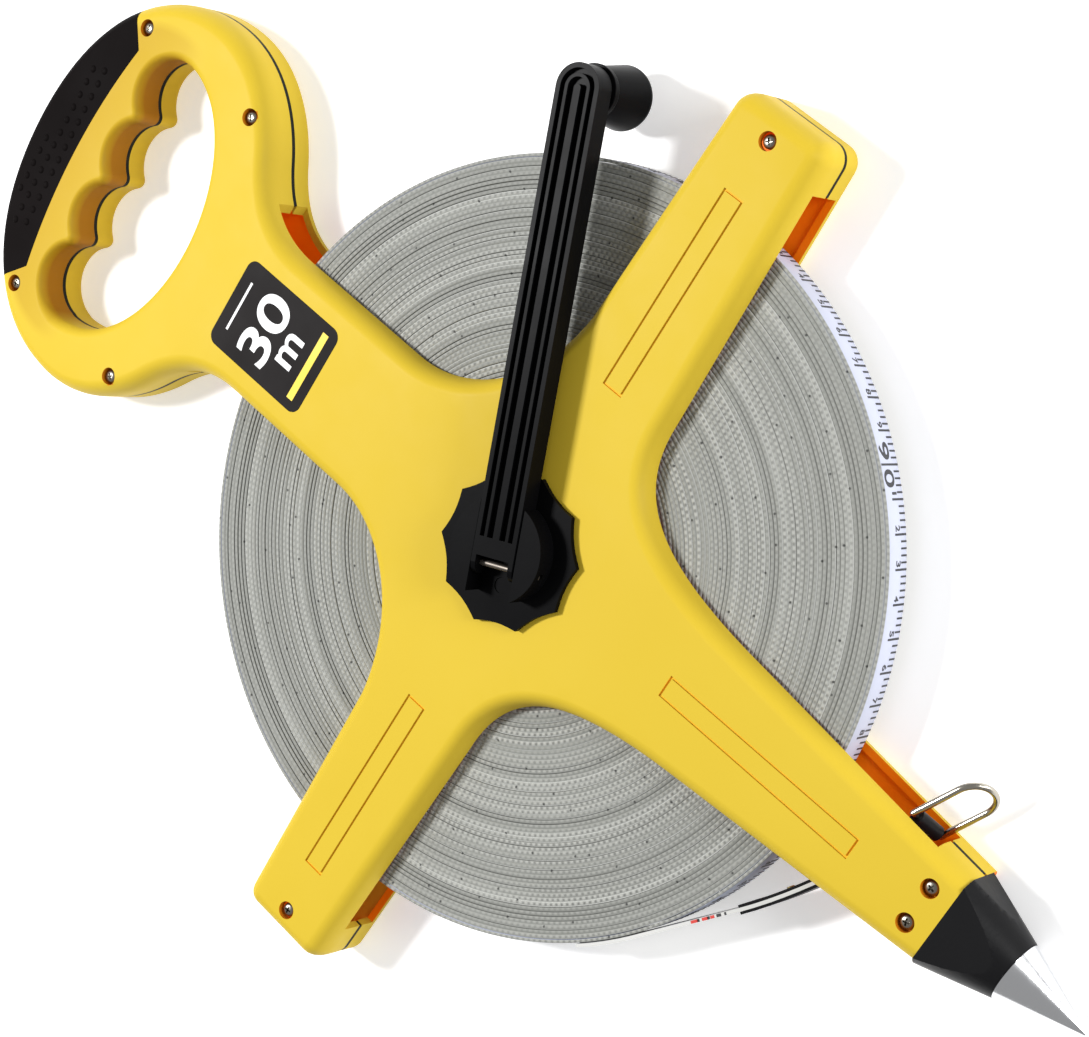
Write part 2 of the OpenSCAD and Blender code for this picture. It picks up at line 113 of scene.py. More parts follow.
def line(a, b, step=6.0):
    a, b = np.array(a, float), np.array(b, float)
    n = max(1, round(np.linalg.norm(b - a) / step))
    return [a + (b - a) * i / n for i in range(n)]


def case_outline():
    """The cross with its looped handle, from the front; it runs on past the spike arm's end."""
    past = 8
    end = SPIKE_ARM_END + past
    end_half = 15.4 - past * 7.2 / 90.5        # the arm narrows by 7.2 mm over its last 90.5 mm
    upper = (bezier((-246.5, 0), (-246.5, 42), (-224, 69.3), (-191, 69.3), 28)
             + bezier((-191, 69.3), (-172, 69.3), (-158, 57.5), (-149.5, 44), 18)
             + bezier((-149.5, 44), (-143, 33.5), (-134, 25.5), (-118, 25.5), 18)
             + line((-118, 25.5), (-66, 25.5))
             + bezier((-66, 25.5), (-46, 25.5), (-25, 42), (-20.8, 72), 26)
             + line((-20.8, 72), (-17.6, 148.7))
             + arc(-11.6, 148.7, 6, 180, 90, 8)
             + line((-11.6, 154.7), (11.6, 154.7))[1:]
             + arc(11.6, 148.7, 6, 90, 0, 8)
             + line((17.6, 148.7), (20.8, 62))[1:]
             + bezier((20.8, 62), (20.5, 37), (38, 26), (80, 22.6), 28)
             + line((80, 22.6), (end, end_half)) + [np.array((end, end_half))])
    lower = [np.array((p[0], -p[1])) for p in reversed(upper[1:])]
    return upper + line((end, end_half), (end, -end_half))[1:] + lower


SCALLOP_R, SCALLOP_PITCH, CREST_R = 13.0, 24.5, 2.9
OPENING_X, OPENING_HALF, OPENING_BULGE = -198.0, 50.0, 36.2


def finger_opening():
    """Half an ellipse and four scallops on the grip's side, with each point's normal."""
    crest_a = math.degrees(math.asin(SCALLOP_PITCH / 2 / (SCALLOP_R + CREST_R)))
    crest_x = OPENING_X - (SCALLOP_R + CREST_R) * math.cos(math.radians(crest_a))
    pts, out = [], []
    for k in (1.5, 0.5, -0.5, -1.5):
        y = k * SCALLOP_PITCH
        a0 = 90 if k == 1.5 else 180 - crest_a
        a1 = 270 if k == -1.5 else 180 + crest_a
        n = 24 if abs(k) > 1 else 18
        pts += arc(OPENING_X, y, SCALLOP_R, a0, a1, n, last=False)
        out += arc(0, 0, 1, a0, a1, n, last=False)
        if k > -1.5:
            pts += arc(crest_x, y - SCALLOP_PITCH / 2, CREST_R, crest_a, -crest_a, 10, last=False)
            out += arc(0, 0, -1, crest_a, -crest_a, 10, last=False)
    for i in range(56):
        a = math.radians(-90 + 180 * i / 56)
        pts.append(np.array((OPENING_X + OPENING_BULGE * math.cos(a), OPENING_HALF * math.sin(a))))
        steep = np.array((OPENING_HALF * math.cos(a), OPENING_BULGE * math.sin(a)))
        out.append(steep / np.linalg.norm(steep))
    return pts, out


def inset(loop, d):
    """Every point moved to the right of the loop, by one distance or by one for each."""
    n = len(loop)
    d = [d] * n if isinstance(d, (int, float)) else d
    if loop is OPENING:
        return [p + k * m for p, k, m in zip(loop, d, OPENING_OUT)]
    out = []
    for i in range(n):
        u = loop[i] - loop[i - 1]
        v = loop[(i + 1) % n] - loop[i]
        u, v = u / np.linalg.norm(u), v / np.linalg.norm(v)
        m, k = np.array((u[1], -u[0])), np.array((v[1], -v[0]))
        out.append(loop[i] + d[i] * (m + k) / (1 + m @ k))
    return out


OUTLINE = case_outline()
OPENING, OPENING_OUT = finger_opening()
# Its edge is rounded fully on the reel's side and two thirds as much in the scallops.
OPENING_SOFT = [0.66 + 0.34 * min(1.0, max(0.0, (p[0] - OPENING_X + 8) / 8)) for p in OPENING]


# ---------------------------------------------------------------- mesh helpers
def add_object(name, data):
    obj = bpy.data.objects.new(name, data)
    bpy.context.scene.collection.objects.link(obj)
    return obj


def make_object(name, bm, smooth_angle=35):
    """An object in metres from a mesh in millimetres."""
    mesh = bpy.data.meshes.new(name)
    bmesh.ops.recalc_face_normals(bm, faces=bm.faces)
    bm.to_mesh(mesh)
    bm.free()
    mesh.transform(Matrix.Scale(MM, 4))
    obj = add_object(name, mesh)
    smooth(obj, smooth_angle)
    return obj


def smooth(obj, angle):
    obj.data.shade_smooth()
    obj.data.set_sharp_from_angle(angle=math.radians(angle))


def final_mesh(obj):
    """The object's mesh as its modifiers, or its curve, leave it."""
    depsgraph = bpy.context.evaluated_depsgraph_get()
    return bpy.data.meshes.new_from_object(obj.evaluated_get(depsgraph))


def apply(obj):
    """Makes the object's modifiers part of its mesh."""
    mesh = final_mesh(obj)
    obj.modifiers.clear()
    old = obj.data
    obj.data = mesh
    bpy.data.meshes.remove(old)


def boolean(obj, tool, operation="DIFFERENCE"):
    """Cuts the object with the tool, or by another operation, and removes the tool."""
    mod = obj.modifiers.new("cut", "BOOLEAN")
    mod.object, mod.operation, mod.solver = tool, operation, "MANIFOLD"
    apply(obj)
    bpy.data.objects.remove(tool)


def bevel(obj, width, segments, angle):
    mod = obj.modifiers.new("edges", "BEVEL")
    mod.width, mod.segments = width * MM, segments
    mod.limit_method, mod.angle_limit = "ANGLE", math.radians(angle)
    apply(obj)


def weigh_normals(obj):
    mod = obj.modifiers.new("normals", "WEIGHTED_NORMAL")
    mod.keep_sharp = True
    apply(obj)


def in_millimetres(bm):
    """Undoes the scale of a mesh that was made before, so that more can be added to it."""
    bmesh.ops.transform(bm, matrix=Matrix.Scale(1 / MM, 4), verts=bm.verts)


def inside(poly, x, y):
    """Whether a point lies in a polygon."""
    hit = False
    for i in range(len(poly)):
        (x0, y0), (x1, y1) = poly[i - 1], poly[i]
        if (y0 > y) != (y1 > y) and x < (x1 - x0) * (y - y0) / (y1 - y0) + x0:
            hit = not hit
    return hit


def fill(bm, outer, holes, height, step=8.0):
    """Triangles between a ring of vertices and the rings inside it, over a loose grid of points."""
    loops = [outer] + holes
    rings = [v for loop in loops for v in loop]
    flat = np.array([v.co.xy for v in rings])
    edges, start = [], 0
    for loop in loops:
        edges += [(start + i, start + (i + 1) % len(loop)) for i in range(len(loop))]
        start += len(loop)
    polys = [[tuple(v.co.xy) for v in loop] for loop in loops]
    grid = []
    low, high = flat.min(axis=0), flat.max(axis=0)
    for j, y in enumerate(np.arange(low[1] + step / 2, high[1], step * 0.866)):
        for x in np.arange(low[0] + (step / 2 if j % 2 else 0), high[0], step):
            if np.hypot(*(flat - (x, y)).T).min() < 0.6 * step or not inside(polys[0], x, y):
                continue
            if not any(inside(p, x, y) for p in polys[1:]):
                grid.append((x, y))
    points = [Vector(p) for p in flat] + [Vector(p) for p in grid]
    verts, _, faces, origin, _, _ = delaunay_2d_cdt(points, edges, [], 1, 1e-5)
    made = {}
    for face in faces:
        centre = sum((verts[i] for i in face), Vector((0, 0))) / len(face)
        if any(inside(p, *centre) for p in polys[1:]):
            continue
        corners = []
        for i in face:
            if i not in made:
                source = min(origin[i]) if origin[i] else len(rings)
                if source < len(rings):
                    made[i] = rings[source]
                else:
                    made[i] = bm.verts.new((*verts[i], height(verts[i].x)))
            corners.append(made[i])
        bm.faces.new(corners)


def bridge(bm, a, b):
    """Faces between two rings of vertices."""
    for i in range(len(a)):
        j = (i + 1) % len(a)
        bm.faces.new((a[i], a[j], b[j], b[i]))


def ring(bm, loop, height):
    """Vertices along a loop, at a height that depends on x."""
    return [bm.verts.new((p[0], p[1], height(p[0]))) for p in loop]


def quarter(across, along, steps=7):
    """(inset, distance from the face) along a quarter of an ellipse, from the wall to the face."""
    return [(across * (1 - math.cos(t)), along * (1 - math.sin(t)))
            for t in (math.pi / 2 * i / steps for i in range(steps + 1))]


def case_solid(name, low, high, low_round, high_round, opening_high_round, opening=True):
    """A closed slab of the case between two heights, with rounded lower and upper edges."""
    bm = bmesh.new()
    parts = [(OUTLINE, 1.0, high_round)]
    if opening:
        parts.append((OPENING, OPENING_SOFT, opening_high_round))
    bottoms, tops = [], []
    for loop, soft, top_round in parts:
        soft = np.array(soft) if isinstance(soft, list) else np.full(len(loop), soft)
        rings = []
        for d, z in reversed(quarter(*low_round, steps=4)):
            rings.append(ring(bm, inset(loop, list(d * soft)), lambda x, z=z: low(x) + z))
        for d, z in quarter(*top_round):
            rings.append(ring(bm, inset(loop, list(d * soft)), lambda x, z=z: high(x) - z))
        for a, b in zip(rings, rings[1:]):
            bridge(bm, a, b)
        bottoms.append(rings[0])
        tops.append(rings[-1])
    fill(bm, tops[0], tops[1:], high)
    fill(bm, bottoms[0], bottoms[1:], low)
    return make_object(name, bm)


def close_between(bm, low, high):
    """The sides and both ends of a prism between two rings of vertices."""
    bridge(bm, low, high)
    bm.faces.new(low[::-1])
    bm.faces.new(high)


def prism(name, loop, low, high):
    bm = bmesh.new()
    close_between(bm, ring(bm, loop, low), ring(bm, loop, high))
    bmesh.ops.triangulate(bm, faces=[f for f in bm.faces if len(f.verts) > 4])
    return make_object(name, bm)


def block(name, low, high):
    bm = bmesh.new()
    bmesh.ops.create_cube(bm, size=1)
    for v in bm.verts:
        v.co = Vector([low[i] + (v.co[i] + 0.5) * (high[i] - low[i]) for i in range(3)])
    return make_object(name, bm)


def rod(name, x, y, low, high, r, sides=48):
    bm = bmesh.new()
    bmesh.ops.create_cone(bm, cap_ends=True, segments=sides, radius1=r, radius2=r, depth=high - low)
    bmesh.ops.translate(bm, verts=bm.verts, vec=(x, y, (low + high) / 2))
    return make_object(name, bm)


def lathe(bm, profile, sides, place=None):
    """A closed (radius, height) profile turned round Z; place is a matrix for the result."""
    rings = []
    for i in range(sides):
        a = 2 * math.pi * i / sides
        rings.append([bm.verts.new((r * math.cos(a), r * math.sin(a), z)) for r, z in profile])
    n = len(profile)
    for i in range(sides):
        a, b = rings[i], rings[(i + 1) % sides]
        for k in range(n):
            m = (k + 1) % n
            bm.faces.new((a[k], b[k], b[m], a[m]))
    if place is not None:
        bmesh.ops.transform(bm, matrix=place, verts=[v for r in rings for v in r])


# ---------------------------------------------------------------- materials
def material(name, color, roughness, metallic=0.0, specular=0.5):
    mat = bpy.data.materials.new(name)
    mat.use_nodes = True
    tree = mat.node_tree
    shader = tree.nodes["Principled BSDF"]
    shader.inputs["Base Color"].default_value = (*color, 1)
    shader.inputs["Roughness"].default_value = roughness
    shader.inputs["Metallic"].default_value = metallic
    shader.inputs["Specular IOR Level"].default_value = specular
    return mat, tree, shader


def node(tree, kind, inputs=None, **settings):
    """A shader node; each input is a value, or a socket to link to."""
    made = tree.nodes.new(kind)
    for key, value in settings.items():
        setattr(made, key, value)
    for key, value in (inputs or {}).items():
        if isinstance(value, bpy.types.NodeSocket):
            tree.links.new(value, made.inputs[key])
        else:
            made.inputs[key].default_value = value
    return made


def coords(tree):
    return node(tree, "ShaderNodeTexCoord").outputs["Object"]


def noise(tree, scale, detail, rough=0.5):
    return node(tree, "ShaderNodeTexNoise", {"Vector": coords(tree), "Scale": scale,
                                             "Detail": detail, "Roughness": rough}).outputs["Fac"]


def ramp(tree, value, low, high, out_low=0.0, out_high=1.0):
    """The value's run from low to high, stretched to another range and held at its ends."""
    made = node(tree, "ShaderNodeMapRange", {"Value": value, "From Min": low, "From Max": high,
                                             "To Min": out_low, "To Max": out_high})
    return made.outputs["Result"]


def mix(tree, factor, a, b):
    made = node(tree, "ShaderNodeMix", data_type="RGBA")
    for key, value in ((0, factor), (6, a), (7, b)):
        if isinstance(value, bpy.types.NodeSocket):
            tree.links.new(value, made.inputs[key])
        else:
            made.inputs[key].default_value = value if key == 0 else (*value, 1)
    return made.outputs[2]


def math_node(tree, operation, a, b=0.0):
    return node(tree, "ShaderNodeMath", {0: a, 1: b}, operation=operation).outputs[0]


def times(tree, a, b):
    return math_node(tree, "MULTIPLY", a, b)


def plus(tree, a, b):
    return math_node(tree, "ADD", a, b)


def bump(tree, shader, height, strength, distance):
    made = node(tree, "ShaderNodeBump", {"Height": height, "Strength": strength,
                                         "Distance": distance})
    tree.links.new(made.outputs["Normal"], shader.inputs["Normal"])


def moulded(name, color, color_b, roughness, grain=900.0, grain_strength=0.12, specular=0.5):
    """Moulded plastic: slow colour drift, faint flow marks and a fine spark-eroded grain."""
    mat, tree, shader = material(name, color, roughness, specular=specular)
    drift = noise(tree, 14.0, 2.0)
    tree.links.new(mix(tree, ramp(tree, drift, 0.3, 0.7), color, color_b),
                   shader.inputs["Base Color"])
    fine = noise(tree, grain, 2.0)
    flow = noise(tree, 60.0, 4.0)
    tree.links.new(ramp(tree, flow, 0.25, 0.75, roughness * 0.88, roughness * 1.14),
                   shader.inputs["Roughness"])
    bump(tree, shader, fine, grain_strength, 0.00008)
    return mat


YELLOW = moulded("case_yellow", (0.615, 0.435, 0.030), (0.635, 0.455, 0.036), 0.5, specular=0.1)
# Painted shade for the finger opening's walls: its deep orange, and where it falls.
FINGER_WALL_PAINTED_SHADE = (0.30, 0.115, 0.0, 1)
HOLLOW_X, HOLLOW_ALONG, HOLLOW_ACROSS = -201, 42, 56      # an ellipse round the finger opening
HOLLOW_LIGHT_Z, HOLLOW_DARK_Z, HOLLOW_SEAM_Z = 23.8, 17.5, (9.6, 9.8)
HOLLOW_FROM_X, HOLLOW_FULL_X = -190, -200


def shade_finger_walls():
    """Painted shade on the finger opening's walls: deep orange, darker from the face to the seam.
    """
    tree = YELLOW.node_tree
    shader = tree.nodes["Principled BSDF"]
    place = node(tree, "ShaderNodeSeparateXYZ", {0: coords(tree)}).outputs
    x = math_node(tree, "DIVIDE", plus(tree, place[0], -HOLLOW_X * MM), HOLLOW_ALONG * MM)
    y = math_node(tree, "DIVIDE", place[1], HOLLOW_ACROSS * MM)
    away = math_node(tree, "SQRT", plus(tree, times(tree, x, x), times(tree, y, y)))
    down = ramp(tree, place[2], HOLLOW_LIGHT_Z * MM, HOLLOW_DARK_Z * MM)
    front = ramp(tree, place[2], *(z * MM for z in HOLLOW_SEAM_Z))
    left = ramp(tree, place[0], HOLLOW_FROM_X * MM, HOLLOW_FULL_X * MM)
    near = ramp(tree, away, 1.06, 1.0)
    painted_shade_amount = times(tree, times(tree, down, front), times(tree, left, near))
    plain = shader.inputs["Base Color"].links[0].from_socket
    made = node(tree, "ShaderNodeMix", {0: times(tree, painted_shade_amount, 0.95), 6: plain}, data_type="RGBA")
    made.inputs[7].default_value = FINGER_WALL_PAINTED_SHADE
    tree.links.new(made.outputs[2], shader.inputs["Base Color"])


# Painted light: the inside of the case is deep orange and glows faintly, in place of light bounced
# round the yellow hollow.
INSIDE_PAINTED_GLOW = moulded("case_inside_painted_glow", (0.86, 0.19, 0.003), (0.90, 0.22, 0.004), 0.5,
                      specular=0.1)
# Painted shade in the engraved lines.
GROOVE_PAINTED_SHADE = moulded("case_groove_painted_shade", (0.84, 0.47, 0.02), (0.86, 0.50, 0.03), 0.5, specular=0.1)
# Painted shade in the screw wells.
WELL_PAINTED_SHADE = moulded("case_well_painted_shade", (0.60, 0.19, 0.006), (0.64, 0.21, 0.008), 0.5, specular=0.1)
painted_glow_shader = INSIDE_PAINTED_GLOW.node_tree.nodes["Principled BSDF"]
# A painted glow: the inside of the case gives off a faint orange light of its own.
painted_glow_shader.inputs["Emission Color"].default_value = (1.0, 0.16, 0.0, 1)
painted_glow_shader.inputs["Emission Strength"].default_value = 0.09
BLACK = moulded("black_plastic", (0.002, 0.002, 0.0023), (0.0035, 0.0035, 0.004), 0.34,
                500, 0.10, 0.035)
RUBBER = moulded("grip_rubber", (0.005, 0.004, 0.004), (0.009, 0.007, 0.007), 0.62, 700, 0.3, 0.02)
SEAM = moulded("seam_black", (0.006, 0.008, 0.006), (0.010, 0.012, 0.010), 0.5, specular=0.1)
MATT_BLACK = moulded("matt_black", (0.006, 0.006, 0.0065), (0.010, 0.010, 0.011), 0.36,
                     900, 0.3, 0.10)
LABEL = moulded("label_film", (0.016, 0.014, 0.014), (0.019, 0.017, 0.017), 0.6, 1200, 0.06, 0.06)
WHITE_INK = moulded("white_ink", (0.86, 0.86, 0.86), (0.82, 0.82, 0.83), 0.5)
YELLOW_INK = moulded("yellow_ink", (0.86, 0.62, 0.02), (0.83, 0.60, 0.02), 0.5)
BLACK_INK = moulded("black_ink", (0.02, 0.02, 0.025), (0.03, 0.03, 0.034), 0.5)
RED_INK = moulded("red_ink", (0.55, 0.03, 0.02), (0.6, 0.04, 0.03), 0.5)
ORANGE = moulded("drum_orange", (0.70, 0.20, 0.02), (0.72, 0.23, 0.02), 0.45)
TAPE_FACE = moulded("tape_face", (0.54, 0.565, 0.68), (0.50, 0.53, 0.65), 0.45, 1400, 0.15, 0.2)
TAPE_EDGE = moulded("tape_edge", (0.42, 0.42, 0.40), (0.62, 0.62, 0.60), 0.55, 700, 0.5)
WASHER = moulded("washer_plastic", (0.75, 0.75, 0.72), (0.7, 0.7, 0.68), 0.4)


def metal(name, color, roughness):
    """Bare metal with faint handling marks."""
    streak = 0.15
    mat, tree, shader = material(name, color, roughness, metallic=1.0)
    marks = noise(tree, 220.0, 5.0, 0.65)
    smoothest, roughest = roughness * (1 - streak), roughness * (1 + 2 * streak)
    tree.links.new(ramp(tree, marks, 0.2, 0.8, smoothest, roughest), shader.inputs["Roughness"])
    bump(tree, shader, noise(tree, 1500.0, 2.0), 0.05, 0.00005)
    return mat


SCREW_STEEL = metal("screw_steel", (0.30, 0.28, 0.24), 0.27)
PIN_STEEL = metal("pin_steel", (0.17, 0.15, 0.13), 0.45)
SPIKE_STEEL = metal("spike_steel", (0.78, 0.79, 0.81), 0.16)
NICKEL = metal("nickel_wire", (0.46, 0.43, 0.37), 0.2)
ZINC = metal("zinc_plate", (0.62, 0.62, 0.63), 0.32)
BRASS = metal("eyelet_brass", (0.62, 0.46, 0.20), 0.28)


def paint(obj, mat):
    obj.data.materials.clear()
    obj.data.materials.append(mat)
    return obj


def repaint(name, mat):
    """A new material on a CAD node that stays as it is."""
    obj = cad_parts[name]
    for slot in obj.material_slots:
        slot.material = mat


shade_finger_walls()


# ---------------------------------------------------------------- the case
def z_at(value):
    """A height that is the same at every x."""
    return lambda x: value


def slot_cutter():
    """The flat space that the coil turns in, open to the sides between the arms."""
    return block("slot_tool", (-SLOT_HANDLE, -SLOT_ARM, SLOT_LOW),
                 (SLOT_SPIKE, SLOT_ARM, SLOT_HIGH))


def cavity_cutter():
    inner = [p for p in inset(OUTLINE, WALL) if CAVITY_X < p[0] < SLOT_SPIKE]
    return prism("cavity_tool", inner, z_at(WALL), lambda x: face_z(x) - WALL)


FRAME_LINE, FRAME_DEEP = 0.75, 0.6
# The engraved frames: the centre's x and y, and the size along x and y.
FRAMES = [(0, 93.5, 7.6, 68.7), (0, -93.5, 7.6, 68.7), (102.2, 0, 73.6, 7.4)]


def frame_cutter(cx, cy, w, h):
    """A thin rectangular frame that sinks into the sloping face."""
    bm = bmesh.new()
    loops = []
    for grow in (0, -FRAME_LINE):
        x, y = w / 2 + grow, h / 2 + grow
        loops.append([np.array((cx + sx * x, cy + sy * y))
                      for sx, sy in ((-1, -1), (1, -1), (1, 1), (-1, 1))])
    rings = [ring(bm, loops[i], lambda x, lift=lift: face_z(x) + lift)
             for i, lift in ((0, -FRAME_DEEP), (0, 1), (1, 1), (1, -FRAME_DEEP))]
    for a, b in zip(rings, rings[1:] + rings[:1]):
        bridge(bm, a, b)
    return make_object("frame_tool", bm)


PAD_ARC_X, PAD_ARC_R, PAD_LOW = -14.3, 207.7, 2.0
PAD_HALF, PAD_CORNER_X, PAD_PAST_X = 59.8, -232, -260


def pad_zone(shrink=0.0):
    """What the pad covers of the grip: all that is beyond an arc, between two straight ends."""
    edge = arc(PAD_ARC_X - shrink, 0, PAD_ARC_R, 168, 192, 24)
    corner_x, half = PAD_CORNER_X - shrink, PAD_HALF - shrink
    return edge + [np.array(p) for p in ((corner_x, -half), (PAD_PAST_X, -half),
                                         (PAD_PAST_X, half), (corner_x, half))]


def pad_cutter(shrink=0.0):
    return prism("pad_tool", pad_zone(shrink), z_at(PAD_LOW), z_at(CLEAR_HIGH))


def end_cutter():
    """Cuts the outline square at the end of the spike arm."""
    return block("end_tool", (SPIKE_ARM_END, -40, -5), (SPIKE_ARM_END + 30, 40, CLEAR_HIGH))


def rounded_plate(name, cx, cy, w, h, r, low, high):
    loop = []
    for sx, sy, a in ((1, 1, 0), (-1, 1, 90), (-1, -1, 180), (1, -1, 270)):
        loop += arc(cx + sx * (w / 2 - r), cy + sy * (h / 2 - r), r, a, a + 90, 8)
    return prism(name, loop, low, high)


LABEL_X, LABEL_Y, LABEL_LONG, LABEL_WIDE, LABEL_R, LABEL_T = -112.5, 0.2, 43.8, 31.5, 3.5, 0.4
# Each of these is painted light: a glow in the hollow, shade in the engraved lines and shade in the
# screw wells.
PAINTED_INSIDE, PAINTED_GROOVE, PAINTED_WELL = 1, 2, 3        # the case's materials after the first, in order
WELLS_ABOVE = 15                      # no screw well goes as deep as this


def tint_inside(obj):
    """Painted light inside the case: deep orange with a painted glow in the hollow, painted shade
    in the screw wells and in the engraved lines.
    """
    obj.data.materials.append(INSIDE_PAINTED_GLOW)
    obj.data.materials.append(GROOVE_PAINTED_SHADE)
    obj.data.materials.append(WELL_PAINTED_SHADE)
    near = 0.2
    hollow, opening = inset(OUTLINE, WALL - near), inset(OPENING, WALL - near)
    for face in obj.data.polygons:
        x, y, z = (v / MM for v in face.center)
        top = face_z(x)
        if WELLS_ABOVE < z < top - near and any(
                math.hypot(x - a, y - b) < WELL_R + 0.05 for a, b in SCREWS):
            face.material_index = PAINTED_WELL
        elif top - 1 < z < top - 0.1 and any(
                abs(x - cx) < w / 2 + 0.1 and abs(y - cy) < h / 2 + 0.1 for cx, cy, w, h in FRAMES):
            face.material_index = PAINTED_GROOVE
        elif (x > CAVITY_X - 1 and WALL - near < z < top - WALL + near
              and inside(hollow, x, y) and not inside(opening, x, y)):
            face.material_index = PAINTED_INSIDE


def cut_case(obj):
    """The cuts that both halves share."""
    for tool in (cavity_cutter(), slot_cutter(), end_cutter(), pad_cutter()):
        boolean(obj, tool)


def front_case():
    obj = case_solid("front_case", z_at(SEAM_Z + SEAM_HALF), face_z, FINE_ROUND,
                     (SHOULDER_IN, SHOULDER_DOWN), (OPENING_IN, OPENING_DOWN))
    cut_case(obj)
    for x, y in SCREWS:
        boolean(obj, rod("bore_tool", x, y, face_z(x) - WELL_DEPTH, face_z(x) + 3, WELL_R))
    for f in FRAMES:
        boolean(obj, frame_cutter(*f))
    boolean(obj, rounded_plate("label_tool", LABEL_X, LABEL_Y, LABEL_LONG + 0.2, LABEL_WIDE + 0.2,
                               LABEL_R + 0.1, z_at(CASE_DEPTH - LABEL_T), z_at(CASE_DEPTH + 5)))
    boolean(obj, rod("hub_tool", 0, 0, 15, CLEAR_HIGH, HUB_HOLE_R))
    smooth(obj, 38)
    weigh_normals(obj)
    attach(paint(obj, YELLOW), "case")
    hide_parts("front_shell")
    tint_inside(obj)


def rear_case():
    obj = case_solid("rear_case", z_at(0), z_at(SEAM_Z - SEAM_HALF), (BACK_ROUND, BACK_ROUND),
                     FINE_ROUND, FINE_ROUND)
    cut_case(obj)
    boolean(obj, rod("cap_tool", 0, 0, CLEAR_LOW, CAP_DEPTH, CAP_R, 64))
    boolean(obj, rod("hub_tool", 0, 0, CLEAR_LOW, 8, HUB_HOLE_R, 64))
    smooth(obj, 38)
    weigh_normals(obj)
    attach(paint(obj, YELLOW), "case")
    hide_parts("rear_shell")
    tint_inside(obj)


front_case()
rear_case()


def between(loop, step=0.6):
    """The loop with more points along its straight runs, so that a cut lands close to its place."""
    out = []
    for i, p in enumerate(loop):
        q = loop[(i + 1) % len(loop)]
        n = max(1, round(np.linalg.norm(q - p) / step))
        out += [p + (q - p) * k / n for k in range(n)]
    return out


def seam_runs(outer):
    """Stretches of the case's edge with no window or pad, as lists of indices."""
    kept = []
    for x, y in outer:
        window = -SLOT_HANDLE < x < SLOT_SPIKE and abs(y) < SLOT_ARM
        padded = abs(y) < PAD_HALF and math.hypot(x - PAD_ARC_X, y) > PAD_ARC_R
        kept.append(not window and not padded and x < SPIKE_ARM_END - 0.2)
    start = kept.index(False)
    runs, run = [], []
    for i in [*range(start, len(outer)), *range(start)]:
        if kept[i]:
            run.append(i)
        elif run:
            runs.append(run)
            run = []
    return runs + [run] if run else runs


def seam_strip():
    """A black band in the joint between the two halves of the case."""
    bm = bmesh.new()
    half = SEAM_HALF + 0.15        # it goes a little way into both halves
    for loop, closed in ((between(OUTLINE), False), (OPENING, True)):
        outer, inner = inset(loop, 0.06), inset(loop, WALL - 0.2)
        for run in ([list(range(len(loop)))] if closed else seam_runs(outer)):
            sections = []
            for i in run:
                corners = ((outer[i], -half), (outer[i], half), (inner[i], half), (inner[i], -half))
                sections.append([bm.verts.new((p[0], p[1], SEAM_Z + z)) for p, z in corners])
            for a, b in zip(sections, sections[1:] + (sections[:1] if closed else [])):
                bridge(bm, a, b)
            if not closed:
                bm.faces.new(sections[0])
                bm.faces.new(sections[-1][::-1])
    obj = make_object("seam_line", bm)
    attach(paint(obj, SEAM), "case")
    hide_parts("seam_strip")


seam_strip()


# The dots on the pad: each column's x and its rows. The columns further out are staggered.
DOT_COLUMNS = ((-231.6, range(13)), (-226.6, range(13)), (-236.2, range(2, 7)))
DOT_PITCH, DOT_FIRST_Y, DOT_STAGGER, DOT_STAGGER_X = 5.05, -31, -2.2, -230
DOT_R, DOT_SUNK, DOT_FLAT = 1.3, 0.15, 0.62


def grip_pad():
    obj = case_solid("grip_rubber", z_at(0), face_z, (BACK_ROUND, BACK_ROUND),
                     (SHOULDER_IN, SHOULDER_DOWN), (OPENING_IN, OPENING_DOWN), opening=False)
    boolean(obj, pad_cutter(0.12), "INTERSECT")
    bevel(obj, 0.5, 2, 45)
    bm = bmesh.new()
    bm.from_mesh(obj.data)
    bpy.data.objects.remove(obj)
    in_millimetres(bm)
    for x, rows in DOT_COLUMNS:
        for i in rows:
            y = DOT_FIRST_Y + i * DOT_PITCH + (0 if x > DOT_STAGGER_X else DOT_STAGGER)
            dot = bmesh.ops.create_uvsphere(bm, u_segments=20, v_segments=12, radius=DOT_R)
            place = Matrix.Translation((x, y, face_z(x) - DOT_SUNK))
            bmesh.ops.transform(bm, matrix=place @ Matrix.Diagonal((1, 1, DOT_FLAT, 1)),
                                verts=dot["verts"])
    obj = make_object("grip_pad_skin", bm, 40)
    weigh_normals(obj)
    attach(paint(obj, RUBBER), "case")
    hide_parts("grip_pad")


grip_pad()


def screw_mesh():
    """One pan head with a cross recess, its top at height 0."""
    bm = bmesh.new()
    lathe(bm, [(POINT, -3.0), (1.5, -3.0), (1.5, -1.9), (2.2, -1.9), (2.2, -1.05), (2.1, -0.7),
               (1.85, -0.4), (1.4, -0.17), (0.8, -0.05), (POINT, 0.0)], 40)
    bmesh.ops.remove_doubles(bm, verts=bm.verts, dist=0.001)
    head = make_object("one_screw", bm, 40)
    for a in (0, 90):
        bm = bmesh.new()
        bmesh.ops.create_cube(bm, size=1)
        for v in bm.verts:
            long, wide, z = (1.3, 0.35, -1.15) if v.co.z < 0 else (3.0, 0.75, 0.6)
            v.co = Vector((v.co.x * long, v.co.y * wide, z))
        bmesh.ops.rotate(bm, verts=bm.verts, matrix=Matrix.Rotation(math.radians(a), 3, "Z"))
        boolean(head, make_object("cross_tool", bm))
    mesh = head.data.copy()
    bpy.data.objects.remove(head)
    return mesh


SCREW_SUNK, SCREW_TILT = 0.75, 2.5


